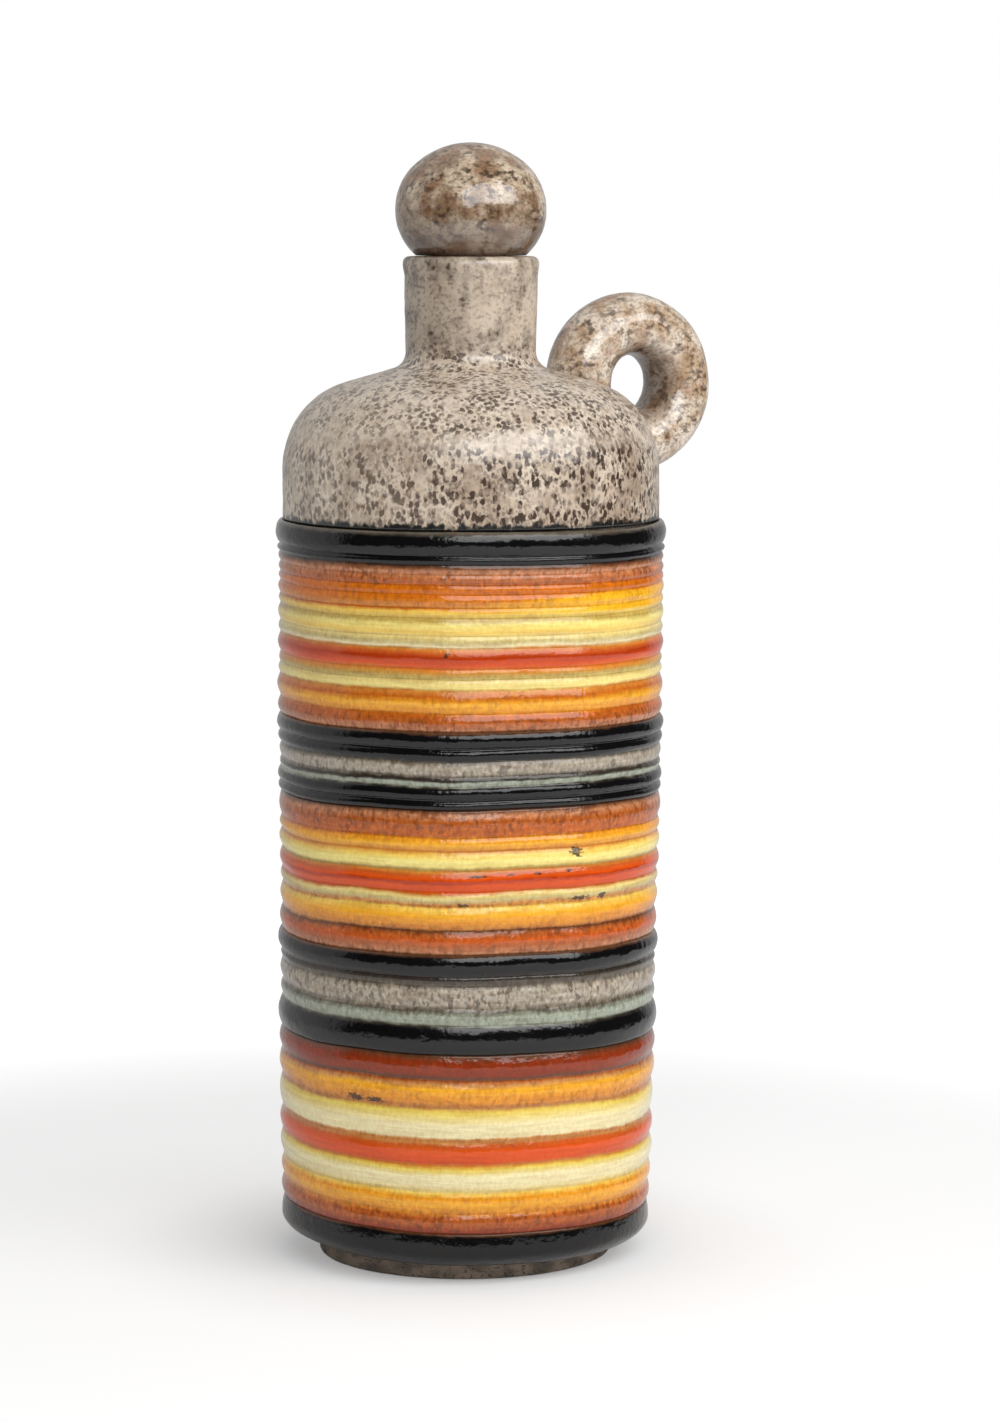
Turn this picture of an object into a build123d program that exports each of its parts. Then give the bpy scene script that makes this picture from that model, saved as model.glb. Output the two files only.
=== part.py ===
from build123d import *
from math import asin, atan2, cos, degrees, radians, tan
import os

os.makedirs("parts", exist_ok=True)

# A tall ceramic bottle with coloured glaze bands over throwing ridges, a sand-speckled
# shoulder and neck, a ring handle and a ball stopper with a cork.
# Millimetres, +Z up. The origin is on the bottle's axis in the plane of its foot,
# and the handle stands out along +X.

# Foot and floor
foot_radius = 43.7
foot_height = 5.8
foot_chamfer = 0.8
floor_thickness = 10.0
undercut_width = 2.5

# Clay wall under the bands, a little narrower towards the foot
banded_height = 209.1
wall_bottom_radius = 53.0
wall_flare = 1.9
wall_thickness = 5.3

# Glaze bands: coat in a groove, and how far a ridge or a black bead swells past it
band_coat = 0.8
ridge_rise = 0.45
bead_rise = 0.95

# Bands from the top down: glaze and number, share of the banded height, ridges
band_shares = [
    ("black_band_1", 8.9, 2),
    ("rust_band_1", 5.8, 2),
    ("orange_band_1", 6.4, 2),
    ("yellow_band_1", 11.2, 3),
    ("red_band_1", 5.9, 1),
    ("yellow_band_2", 5.9, 2),
    ("amber_band_1", 6.75, 2),
    ("rust_band_2", 5.1, 1),
    ("black_band_2", 8.2, 2),
    ("grey_band_1", 7.3, 2),
    ("black_band_3", 6.8, 2),
    ("rust_band_3", 7.65, 2),
    ("amber_band_2", 3.7, 1),
    ("yellow_band_3", 5.5, 1),
    ("red_band_2", 6.0, 1),
    ("yellow_band_4", 4.1, 1),
    ("amber_band_3", 6.8, 1),
    ("rust_band_4", 7.1, 1),
    ("black_band_4", 8.85, 1),
    ("grey_band_2", 11.4, 2),
    ("black_band_5", 8.6, 1),
    ("rust_band_5", 7.0, 1),
    ("amber_band_4", 7.6, 1),
    ("cream_band_1", 9.8, 2),
    ("red_band_3", 6.6, 1),
    ("cream_band_2", 7.8, 1),
    ("amber_band_5", 6.1, 1),
    ("rust_band_6", 6.1, 1),
    ("black_band_6", 10.1, 1),
]

# Shoulder, over its glaze, and how far it stands in from the top of the clay wall
shoulder_inset = 0.4
shoulder_rise = 44.6
shoulder_slope = 16.6
shoulder_rounding = 25.4
shoulder_wall = 6.0
sand_coat = 0.8

# Neck, over its glaze
neck_height = 31.1
neck_root_radius = 18.8
neck_root_fillet = 5.0
neck_seam_rise = 4.4
neck_top_radius = 19.2
collar_radius = 19.65
collar_height = 5.5
collar_swell_height = 2.5
lip_rounding = 1.5
bore_radius = 11.55
bore_edge_rounding = 0.5
liner_coat = 0.5

# Ring handle: a coil bent to three quarters of a circle, its two ends luted to the shoulder,
# with the ring's middle a little in from the shoulder's side
ring_radius = 17.2
ring_inset = 0.9
ring_rise = 38.3
coil_half_thickness = 9.15
coil_half_width = 10.95
handle_coat = 0.6
slip_thickness = 0.5

# Ball stopper and its cork
ball_radius = 21.65
ball_half_height = 19.3
ball_side_rounding = 17.6
ball_seat_drop = 12.5
ball_coat = 0.6
seat_gap = 0.7
cork_clearance = 0.05
cork_grip = 6.0
cork_reach = 21.0
cork_tip_radius = 10.2
cork_tip_chamfer = 1.0
cork_socket_depth = 9.0

# Heights that follow from the sizes above
bands_top = foot_height + banded_height
shoulder_corner = bands_top + shoulder_rise
neck_seam = shoulder_corner + neck_seam_rise
lip_top = shoulder_corner + neck_height
lip_clay_top = lip_top - sand_coat
ball_seat = lip_top + seat_gap
ball_centre = ball_seat + ball_seat_drop
socket_top = ball_seat + cork_socket_depth

# Radii that follow from the sizes above
wall_top_radius = wall_bottom_radius + wall_flare
cavity_radius = wall_bottom_radius - wall_thickness
shoulder_radius = wall_top_radius - shoulder_inset
shoulder_clay_radius = shoulder_radius - sand_coat
ring_reach = shoulder_radius - ring_inset
cork_radius = bore_radius - cork_clearance


def wall_radius(height):
    """Outer radius of the clay wall under the bands at a height."""
    return wall_bottom_radius + wall_flare * (height - foot_height) / banded_height


def band_levels():
    """Lower and upper height of each band, from the top down."""
    total_share = sum(share for _, share, _ in band_shares)
    levels = []
    upper = bands_top
    for _, share, _ in band_shares:
        lower = upper - banded_height * share / total_share
        levels.append((lower, upper))
        upper = lower
    return levels


def turned(*edges):
    """Turn a closed outline of radius and height round the bottle's axis."""
    return revolve(Plane.XZ * make_face(edges), Axis.Z)


def slope_height(radius, inset):
    """Height of the shoulder's slope at a radius, on a line inset from its glazed surface."""
    fall = (radius - neck_root_radius) * tan(radians(shoulder_slope))
    return shoulder_corner - fall - inset / cos(radians(shoulder_slope))


def dome_line(side_radius, root_radius, inset, low, high):
    """Outline of the shoulder from its side up to the neck, at an inset from the glazed one."""
    side = (side_radius, low)
    shoulder = (side_radius, slope_height(side_radius, inset))
    root = (root_radius, slope_height(root_radius, inset))
    top = (root_radius, high)
    radii = [shoulder_rounding - inset, neck_root_fillet + inset]
    return FilletPolyline(side, shoulder, root, top, radius=radii)


def outer_dome(inset, low):
    """Outline of the shoulder's outside, inset by part or all of its glaze."""
    return dome_line(shoulder_radius - inset, neck_root_radius - inset, inset, low, neck_seam)


def inner_dome(liner, low, high):
    """Outline of the shoulder's inside, on the clay or on the liner glaze over it."""
    inset = sand_coat + shoulder_wall + liner
    root_radius = bore_radius + liner_coat - liner
    return dome_line(cavity_radius - liner, root_radius, inset, low, high)


def base_slab():
    """Thrown floor with the bare foot under it and the undercut below the lowest band."""
    slab_radius = wall_radius(floor_thickness)
    points = [
        (0, 0),
        (foot_radius - foot_chamfer, 0),
        (foot_radius, foot_chamfer),
        (foot_radius, foot_height),
        (wall_bottom_radius - undercut_width, foot_height),
        (slab_radius, floor_thickness),
        (0, floor_thickness),
    ]
    return turned(*Polyline(points, close=True).edges())


def body_wall(seam):
    """Thrown clay wall from the floor up to the seam under the uppermost band."""
    points = [
        (cavity_radius, floor_thickness),
        (wall_radius(floor_thickness), floor_thickness),
        (wall_radius(seam), seam),
        (cavity_radius, seam),
    ]
    return turned(*Polyline(points, close=True).edges())


def shoulder(seam):
    """Clay dome from the wall's seam to the root of the neck."""
    outside = outer_dome(sand_coat, seam)
    inside = inner_dome(0, seam, neck_seam)
    top = Line(outside @ 1, inside @ 1)
    bottom = Line(inside @ 0, outside @ 0)
    return turned(*outside.edges(), top, *inside.edges(), bottom)


def neck_side(inset):
    """Corner points of the neck's outside from its seam to under the lip."""
    swell_low = lip_top - collar_height
    return [
        (neck_root_radius - inset, neck_seam),
        (neck_top_radius - inset, swell_low),
        (collar_radius - inset, swell_low + collar_swell_height),
    ]


def neck():
    """Clay neck with its bore and the slightly swollen collar under the lip."""
    clay_bore = bore_radius + liner_coat
    rim_radius = collar_radius - sand_coat
    rounding = lip_rounding - sand_coat
    points = neck_side(sand_coat) + [
        (rim_radius, lip_clay_top - rounding),
        (rim_radius - rounding, lip_clay_top),
        (clay_bore, lip_clay_top),
        (clay_bore, neck_seam),
    ]
    return turned(*Polyline(points, close=True).edges())


def solid_dome(inset):
    """Shoulder and neck down to the bands, filled in, as a cutter for the handle's ends."""
    outside = outer_dome(inset, bands_top)
    rest = Polyline(
        *neck_side(inset),
        (collar_radius - inset, lip_top),
        (0, lip_top),
        (0, bands_top),
        outside @ 0,
    )
    return turned(*outside.edges(), *rest.edges())


def coil(coat):
    """The bent coil of the handle, its ends run on straight into the shoulder."""
    section = Ellipse(coil_half_thickness - coat, coil_half_width - coat)
    centre_height = bands_top + ring_rise
    middle = Pos(ring_reach, 0, centre_height)
    axis = Axis((ring_reach, 0, centre_height), (0, 1, 0))
    lower_start = middle * Pos(0, 0, -ring_radius) * Rot(0, 90, 0) * section
    upper_start = middle * Pos(-ring_radius, 0, 0) * section
    bend = revolve(lower_start, axis, revolution_arc=-270)
    lower_end = extrude(lower_start, amount=ring_radius, dir=(-1, 0, 0))
    upper_end = extrude(upper_start, amount=ring_radius, dir=(0, 0, -1))
    return bend + lower_end + upper_end


def ring_handle():
    """Clay handle, coped to the slip that lutes it to the shoulder."""
    return coil(handle_coat) - solid_dome(sand_coat - slip_thickness)


def handle_slip():
    """The two pads of slip between the handle's ends and the shoulder's clay, upper first."""
    under = coil(handle_coat) & solid_dome(sand_coat - slip_thickness)
    pads = under - solid_dome(sand_coat)
    return pads.solids().sort_by(Axis.Z, reverse=True)


def handle_glaze():
    """Speckled coat over the handle, down to the shoulder's own coat."""
    return coil(0) - coil(handle_coat) - solid_dome(0)


def shoulder_glaze():
    """Speckled coat over the shoulder, open where the handle's clay goes through it."""
    outside = outer_dome(0, bands_top)
    inside = outer_dome(sand_coat, bands_top)
    top = Line(outside @ 1, inside @ 1)
    bottom = Line(inside @ 0, outside @ 0)
    return turned(*outside.edges(), top, *inside.edges(), bottom) - coil(handle_coat)


def neck_glaze():
    """Speckled coat over the neck and the lip, down to the edge of the bore."""
    lip_low = (collar_radius, lip_top - lip_rounding)
    lip_high = (collar_radius - lip_rounding, lip_top)
    side = Polyline(*neck_side(0), lip_low)
    lip = RadiusArc(lip_low, lip_high, -lip_rounding)
    edge_radius = bore_radius + bore_edge_rounding
    edge_height = lip_top - bore_edge_rounding
    rim = Line(lip_high, (edge_radius, lip_top))
    edge = RadiusArc((edge_radius, lip_top), (bore_radius, edge_height), -bore_edge_rounding)
    clay_rim = collar_radius - sand_coat
    rounding = lip_rounding - sand_coat
    back = Polyline(
        (bore_radius, edge_height),
        (bore_radius, lip_clay_top),
        (clay_rim - rounding, lip_clay_top),
        (clay_rim, lip_clay_top - rounding),
        *reversed(neck_side(sand_coat)),
        (neck_root_radius, neck_seam),
    )
    return turned(*side.edges(), lip, rim, edge, *back.edges())


def interior_glaze():
    """Liner glaze over the floor, the wall's inside and the neck's bore."""
    outside = inner_dome(0, floor_thickness, lip_clay_top)
    inside = inner_dome(liner_coat, floor_thickness + liner_coat, lip_clay_top)
    top = Line(outside @ 1, inside @ 1)
    floor = Polyline(inside @ 0, (0, floor_thickness + liner_coat), (0, floor_thickness), outside @ 0)
    return turned(*outside.edges(), top, *inside.edges(), *floor.edges())


def band_back(lower, upper):
    """Corner points of a band's plain inner side on the clay, from its top down."""
    if upper == bands_top:
        return [(shoulder_clay_radius, upper), (shoulder_clay_radius, lower)]
    if lower < floor_thickness:
        slab_edge = (wall_radius(floor_thickness), floor_thickness)
        undercut = (wall_bottom_radius - undercut_width, lower)
        return [(wall_radius(upper), upper), slab_edge, undercut]
    return [(wall_radius(upper), upper), (wall_radius(lower), lower)]


def glaze_band(name, lower, upper, ridges):
    """One band of glaze: plain against the clay, swelling into its ridges outside."""
    rise = bead_rise if name.startswith("black") else ridge_rise
    step = (upper - lower) / ridges
    back = band_back(lower, upper)
    turned_under = lower < floor_thickness
    start = back[-1] if turned_under else (wall_radius(lower) + band_coat, lower)
    edges = [] if turned_under else [Line(back[-1], start)]
    for ridge in range(ridges):
        middle = lower + (ridge + 1 / 2) * step
        top = lower + (ridge + 1) * step
        end = (wall_radius(top) + band_coat, top)
        crest = (wall_radius(middle) + band_coat + rise, middle)
        edges.append(ThreePointArc(start, crest, end))
        start = end
    edges.extend(Polyline(start, *back).edges())
    return turned(*edges)


def ball_side(coat):
    """Outline of the ball from its flat seat up to its top: a rounder side, a flatter crown."""
    side_offset = ball_radius - ball_side_rounding
    squares = ball_radius**2 + ball_half_height**2 - 2 * ball_radius * ball_side_rounding
    crown_rounding = squares / (2 * (ball_half_height - ball_side_rounding))
    crown_drop = crown_rounding - ball_half_height
    turn = degrees(atan2(crown_drop, side_offset))
    start = -degrees(asin(ball_seat_drop / (ball_side_rounding - coat)))
    side = CenterArc((side_offset, ball_centre), ball_side_rounding - coat, start, turn - start)
    crown = CenterArc((0, ball_centre - crown_drop), crown_rounding - coat, turn, 90 - turn)
    return side, crown


def stopper_ball():
    """Clay ball, flat underneath, with the blind socket that the cork is glued in."""
    side, crown = ball_side(ball_coat)
    rest = Polyline(
        crown @ 1,
        (0, socket_top),
        (cork_radius, socket_top),
        (cork_radius, ball_seat),
        side @ 0,
    )
    return turned(side, crown, *rest.edges())


def ball_glaze():
    """Speckled coat over the ball."""
    side, crown = ball_side(0)
    clay_side, clay_crown = ball_side(ball_coat)
    top = Line(crown @ 1, clay_crown @ 1)
    bottom = Line(clay_side @ 0, side @ 0)
    return turned(side, crown, top, clay_crown, clay_side, bottom)


def stopper_cork():
    """Cork: straight where it is glued and where it grips the bore, tapered below."""
    tip = lip_top - cork_reach
    points = [
        (0, tip),
        (cork_tip_radius - cork_tip_chamfer, tip),
        (cork_tip_radius, tip + cork_tip_chamfer),
        (cork_radius, lip_top - cork_grip),
        (cork_radius, socket_top),
        (0, socket_top),
    ]
    return turned(*Polyline(points, close=True).edges())


levels = band_levels()
seam_height = levels[0][0]
upper_slip, lower_slip = handle_slip()

nodes = {
    "base_slab": base_slab(),
    "body_wall": body_wall(seam_height),
    "shoulder": shoulder(seam_height),
    "neck": neck(),
    "ring_handle": ring_handle(),
    "upper_handle_slip": upper_slip,
    "lower_handle_slip": lower_slip,
    "interior_glaze": interior_glaze(),
    "shoulder_glaze": shoulder_glaze(),
    "neck_glaze": neck_glaze(),
    "handle_glaze": handle_glaze(),
    "stopper_ball": stopper_ball(),
    "ball_glaze": ball_glaze(),
    "stopper_cork": stopper_cork(),
}
for (name, _, ridges), (lower, upper) in zip(band_shares, levels):
    nodes[name] = glaze_band(name, lower, upper, ridges)

for name, solid in nodes.items():
    export_step(solid, f"parts/{name}.step")
    print(name, round(solid.volume, 1))
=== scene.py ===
# %% [markdown]
# A tall stoneware bottle with bands of coloured glaze, a ring handle and a ball stopper.
# The construction is already solid and true to size, so it is loaded as a fixed frame and
# nothing in it is moved. This lesson adds what a potter's hand and kiln add: throwing rings that
# wander, glazes that break over them, speckles, and a gloss that catches the studio's light.

# %% Load the frame and keep its size
import math
import bpy
import numpy as np
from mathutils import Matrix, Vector


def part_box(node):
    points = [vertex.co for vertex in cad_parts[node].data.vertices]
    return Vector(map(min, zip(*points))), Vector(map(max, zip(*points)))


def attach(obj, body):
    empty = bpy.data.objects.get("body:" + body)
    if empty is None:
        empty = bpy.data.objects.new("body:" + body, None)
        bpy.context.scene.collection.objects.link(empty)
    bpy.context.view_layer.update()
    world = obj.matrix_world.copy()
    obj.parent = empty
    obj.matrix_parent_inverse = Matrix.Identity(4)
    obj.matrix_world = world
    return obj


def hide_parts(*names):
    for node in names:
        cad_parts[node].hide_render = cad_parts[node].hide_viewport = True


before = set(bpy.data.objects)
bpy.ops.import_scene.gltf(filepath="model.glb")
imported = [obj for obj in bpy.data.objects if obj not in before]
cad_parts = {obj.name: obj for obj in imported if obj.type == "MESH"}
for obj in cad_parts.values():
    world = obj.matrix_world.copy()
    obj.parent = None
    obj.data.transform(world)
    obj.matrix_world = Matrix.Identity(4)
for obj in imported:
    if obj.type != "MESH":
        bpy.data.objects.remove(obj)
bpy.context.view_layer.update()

MM = 0.001

# %% [markdown]
# The camera comes first, because every later choice is judged through it. It could be placed by
# eye, but a bottle's rims are circles, so how round they look gives the height and distance.
# It stands 1.3 m away, looks down a little, and the handle points to the right and away from it.

# %% Camera
VIEW_TURN = math.radians(31)
VIEW_TILT = math.radians(6.3)
VIEW_DISTANCE = 1300 * MM
VIEW_HEIGHT = 302.3 * MM
VIEW_ASIDE = 8.4 * MM
LENS_MM = 113.7
SENSOR_MM = 36

view_ahead = Vector((math.sin(VIEW_TURN), math.cos(VIEW_TURN), 0))
view_right = Vector((math.cos(VIEW_TURN), -math.sin(VIEW_TURN), 0))
camera_place = view_right * VIEW_ASIDE - view_ahead * VIEW_DISTANCE
camera_place.z = VIEW_HEIGHT
bpy.ops.object.camera_add(location=camera_place, rotation=(math.pi / 2 - VIEW_TILT, 0, -VIEW_TURN))
camera = bpy.context.object
camera.data.lens = LENS_MM
camera.data.sensor_width = SENSOR_MM
bpy.context.scene.camera = camera
print("camera at", [round(c, 3) for c in camera.location])

# %% [markdown]
# Glaze is painted with numbers here, so the sums have to stay readable. Shader nodes could be
# wired one by one, but a pattern of twenty nodes then takes a page. Instead one small class wraps
# a socket, so that plus and times add their nodes, and one method makes every other node.

# %% Shader sums
class Wire:
    """A shader socket that can be added, multiplied and compared like a number."""

    def __init__(self, recipe, socket):
        self.recipe = recipe
        self.socket = socket

    def sum(self, operation, first, second):
        return self.recipe.node("ShaderNodeMath", {"operation": operation}, {0: first, 1: second})

    def __add__(self, other):
        return self.sum("ADD", self, other)

    def __sub__(self, other):
        return self.sum("SUBTRACT", self, other)

    def __mul__(self, other):
        return self.sum("MULTIPLY", self, other)

    def __truediv__(self, other):
        return self.sum("DIVIDE", self, other)

    def __radd__(self, other):
        return self.sum("ADD", other, self)

    def __rsub__(self, other):
        return self.sum("SUBTRACT", other, self)

    def least(self, other):
        return self.sum("MINIMUM", self, other)

    def most(self, other):
        return self.sum("MAXIMUM", self, other)

    def step(self, low, high):
        """0 below low, 1 above high and smooth between them, or falling if low is the higher."""
        settings = {"interpolation_type": "SMOOTHSTEP"}
        return self.recipe.node("ShaderNodeMapRange", settings, {0: self, 1: low, 2: high})


class Recipe:
    """A node tree that is being filled, for a material or for the world."""

    def __init__(self, tree):
        self.tree = tree
        tree.nodes.clear()

    def node(self, kind, settings=None, sockets=None, output=0):
        """Adds a node: its settings first, then the values or wires of its sockets."""
        node = self.tree.nodes.new(kind)
        for name, value in (settings or {}).items():
            if name == "stops":
                self.set_stops(node.color_ramp, value)
            else:
                setattr(node, name, value)
        for name, value in (sockets or {}).items():
            if isinstance(value, Wire):
                self.tree.links.new(value.socket, node.inputs[name])
            else:
                node.inputs[name].default_value = value
        return Wire(self, node.outputs[output]) if node.outputs else None

    def set_stops(self, ramp, stops):
        """Gives a colour ramp its stops, each a place from 0 to 1 and a colour."""
        while len(ramp.elements) < len(stops):
            ramp.elements.new(1)
        for element, (place, colour) in zip(ramp.elements, stops):
            element.position = place
            element.color = colour

    def mix(self, share, first, second, blend="MIX"):
        """Mixes two colours."""
        settings = {"data_type": "RGBA", "blend_type": blend}
        return self.node("ShaderNodeMix", settings, {0: share, 6: first, 7: second}, output=2)

    def layered(self, colour, layers, blend="MIX"):
        """Lays tones over a colour one after another, each given by its share and its colour."""
        for share, tone in layers:
            colour = self.mix(share, colour, tone, blend)
        return colour

    def vector(self, operation, first, second=(0, 0, 0)):
        """A sum on vectors. A dot product or a length comes out as a number."""
        number = operation in ("DOT_PRODUCT", "LENGTH")
        settings = {"operation": operation}
        return self.node("ShaderNodeVectorMath", settings, {0: first, 1: second}, output=int(number))

    def part(self, place, axis):
        """One coordinate of a place: x, y or z."""
        return self.node("ShaderNodeSeparateXYZ", None, {0: place}, output="xyz".index(axis))

    def counted(self, place, grain, stretch, shift):
        """A place counted in grains of a size in millimetres, stretched along any axis."""
        moved = self.vector("ADD", place, (shift, shift, shift))
        return self.vector("MULTIPLY", moved, [1 / (grain * MM * part) for part in stretch])

    def noise(self, place, grain, stretch=(1, 1, 1), detail=2, shift=0):
        """Cloudy noise with a grain size in millimetres."""
        sockets = {"Vector": self.counted(place, grain, stretch, shift), "Scale": 1, "Detail": detail}
        return self.node("ShaderNodeTexNoise", None, sockets)

    def spots(self, place, cell, stretch, shift):
        """Separate ragged spots, about one in each cell of a size in millimetres."""
        sockets = {"Vector": self.counted(place, cell, stretch, shift), "Scale": 1}
        distance = self.node("ShaderNodeTexVoronoi", None, sockets)
        ragged = (self.noise(place, cell * 0.5, stretch, 3, shift) - 0.5) * 0.9
        return (distance + ragged).step(0.55, 0.38)


def fresh_finish(name):
    """A new material and the recipe that fills it."""
    finish = bpy.data.materials.new(name)
    finish.use_nodes = True
    return finish, Recipe(finish.node_tree)


def own_place(make):
    """The place of a point in its piece's own coordinates, which are the bottle's."""
    return make.node("ShaderNodeTexCoord", output=3)


def paint(red, green, blue, alpha=1.0):
    """A colour as seen on a screen, 0 to 255, turned into the linear one that a shader uses."""
    parts = [c / 255 for c in (red, green, blue)]
    linear = [c / 12.92 if c <= 0.04045 else ((c + 0.055) / 1.055) ** 2.4 for c in parts]
    return (*linear, alpha)


print("paint(128, 128, 128) is", round(paint(128, 128, 128)[0], 3), "in linear light")

# %% [markdown]
# The light is that of a packshot: a white table and backdrop, one wide softbox to the right of
# the camera and above it, and a dark studio behind the camera. More lamps would flatten the
# rings. The glossy glaze mirrors the dark room in front and the white walls at its two sides,
# which is what gives a dark middle, long thin highlights on the rings and a pale veil at the edges.

# %% Studio: world and softbox
LEFT_WALL = math.radians(-78), math.radians(-86)
RIGHT_WALL = math.radians(128), math.radians(142)
WALL_GLOW = 0.5
ROOM_GLOW = 0.02
FILL_LEVEL = 0.42
FILL_TO_RIGHT = 0.18
FILL_AT_SIDES = 0.19
LAMP_AIM = Vector((0, 0, 0.17))


def from_camera(azimuth, elevation):
    """A direction from the bottle: azimuth to the right of the camera, elevation above the table."""
    side = math.radians(azimuth)
    up = math.radians(elevation)
    level = view_right * math.sin(side) - view_ahead * math.cos(side)
    return level * math.cos(up) + Vector((0, 0, math.sin(up)))


def studio_world():
    """White to the camera, a soft grey fill, and a dark room in front in the reflections."""
    world = bpy.data.worlds.new("studio")
    world.use_nodes = True
    bpy.context.scene.world = world
    make = Recipe(world.node_tree)
    direction = make.node("ShaderNodeTexCoord")
    ahead = make.vector("DOT_PRODUCT", direction, -view_ahead)
    right = make.vector("DOT_PRODUCT", direction, view_right)
    azimuth = make.node("ShaderNodeMath", {"operation": "ARCTAN2"}, {0: right, 1: ahead})
    walls = azimuth.step(*LEFT_WALL).most(azimuth.step(*RIGHT_WALL))
    mirrored = walls * WALL_GLOW + ROOM_GLOW
    camera_ray = make.node("ShaderNodeLightPath", output=0)
    glossy_ray = make.node("ShaderNodeLightPath", output=3)
    soft = FILL_LEVEL + right * FILL_TO_RIGHT + right * right * FILL_AT_SIDES
    fill = soft + glossy_ray * (mirrored - soft)
    strength = fill + camera_ray * (1 - fill)
    light = make.node("ShaderNodeBackground", None, {"Color": (1, 1, 1, 1), "Strength": strength})
    make.node("ShaderNodeOutputWorld", None, {"Surface": light})


def softbox(name, azimuth, elevation, distance, width, height, power):
    """A rectangular area lamp that looks at the middle of the bottle."""
    direction = from_camera(azimuth, elevation)
    bpy.ops.object.light_add(type="AREA", location=LAMP_AIM + direction * distance)
    lamp = bpy.context.object
    lamp.name = name
    lamp.rotation_euler = direction.to_track_quat("Z", "Y").to_euler()
    lamp.data.shape = "RECTANGLE"
    lamp.data.size = width
    lamp.data.size_y = height
    lamp.data.energy = power


studio_world()
softbox("key_softbox", azimuth=32, elevation=36, distance=1.0, width=1.6, height=0.55, power=9.2)
print("studio lit")

# %% [markdown]
# The table is a wide pale disc. A plain surface would end in a grey horizon, so its finish is
# mixed with white light that only the camera sees: a little at the foot, where the soft shadow
# has to show, and nearly all further out, where the table runs into the backdrop.

# %% Floor
FLOOR_RADIUS = 0.75
FLOOR_DROP = 0.2 * MM
FLOOR_CORNERS = 96
FOOT_FADE = 0.05, 0.12
BACKDROP_FADE = 0.22, 0.5
TABLE_GLOW = 1.25


def pale_table():
    """A white matt table whose far parts look as white as the backdrop."""
    finish, make = fresh_finish("pale_table")
    reach = make.vector("LENGTH", own_place(make))
    seen = make.node("ShaderNodeLightPath", output=0)
    white_share = 0.22 + reach.step(*FOOT_FADE) * 0.2 + reach.step(*BACKDROP_FADE) * 0.58
    table = make.node("ShaderNodeBsdfDiffuse", None, {"Color": (0.93, 0.93, 0.93, 1)})
    glow = make.node("ShaderNodeEmission", None, {"Color": (1, 1, 1, 1), "Strength": TABLE_GLOW})
    shown = make.node("ShaderNodeMixShader", None, {0: seen * white_share, 1: table, 2: glow})
    make.node("ShaderNodeOutputMaterial", None, {"Surface": shown})
    return finish


bpy.ops.object.select_all(action="DESELECT")
bpy.ops.mesh.primitive_circle_add(
    vertices=FLOOR_CORNERS, radius=FLOOR_RADIUS, fill_type="NGON", location=(0, 0, -FLOOR_DROP))
floor = bpy.context.object
floor.name = "studio_floor"
floor.data.materials.append(pale_table())
print("floor of", FLOOR_RADIUS * 2, "m")

# %% [markdown]
# The bottle was thrown on a wheel, so its new skin is turned too: an outline of radius and height
# is extruded point by point from one vertex and spun once round the axis. A cylinder pushed about
# by hand would never get its rings this even. A small helper also rounds an outline's corners.

# %% Turning on the wheel
def alone(piece):
    """Selects one object and nothing else."""
    if bpy.context.object and bpy.context.object.mode != "OBJECT":
        bpy.ops.object.mode_set(mode="OBJECT")
    bpy.ops.object.select_all(action="DESELECT")
    piece.hide_set(False)
    piece.select_set(True)
    bpy.context.view_layer.objects.active = piece


def rounded(corners, radii, step):
    """An outline through corners, each inner one rounded by its own radius, with even points."""
    points = [Vector(corners[0])]
    for before, corner, after, radius in zip(corners, corners[1:], corners[2:], radii):
        to_before = (Vector(before) - Vector(corner)).normalized()
        to_after = (Vector(after) - Vector(corner)).normalized()
        half = to_before.angle(to_after) / 2
        centre = Vector(corner) + (to_before + to_after).normalized() * radius / math.sin(half)
        start = Vector(corner) + to_before * radius / math.tan(half) - centre
        end = Vector(corner) + to_after * radius / math.tan(half) - centre
        turn = start.angle_signed(end)
        arc_points = max(2, round(abs(turn) * radius / step))
        for count in range(arc_points + 1):
            angle = turn * count / arc_points
            cosine, sine = math.cos(angle), math.sin(angle)
            turned = start.x * cosine + start.y * sine, start.y * cosine - start.x * sine
            points.append(centre + Vector(turned))
    points.append(Vector(corners[-1]))
    return spaced(points, step)


def spaced(points, step):
    """The same outline with points added so that none is much further than a step from the next."""
    line = [tuple(points[0])]
    for start, end in zip(points, points[1:]):
        count = max(1, round((end - start).length / step))
        line += [tuple(start.lerp(end, part / count)) for part in range(1, count + 1)]
    return line


DOUBLINGS = 4
SAME_PLACE = 0.01 * MM


def seal_mesh():
    """In edit mode: merges what meets, turns the faces outwards, leaves edit mode and smooths."""
    bpy.ops.mesh.select_all(action="SELECT")
    bpy.ops.mesh.remove_doubles(threshold=SAME_PLACE)
    bpy.ops.mesh.normals_make_consistent(inside=False)
    bpy.ops.object.mode_set(mode="OBJECT")
    bpy.ops.object.shade_smooth()


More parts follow.
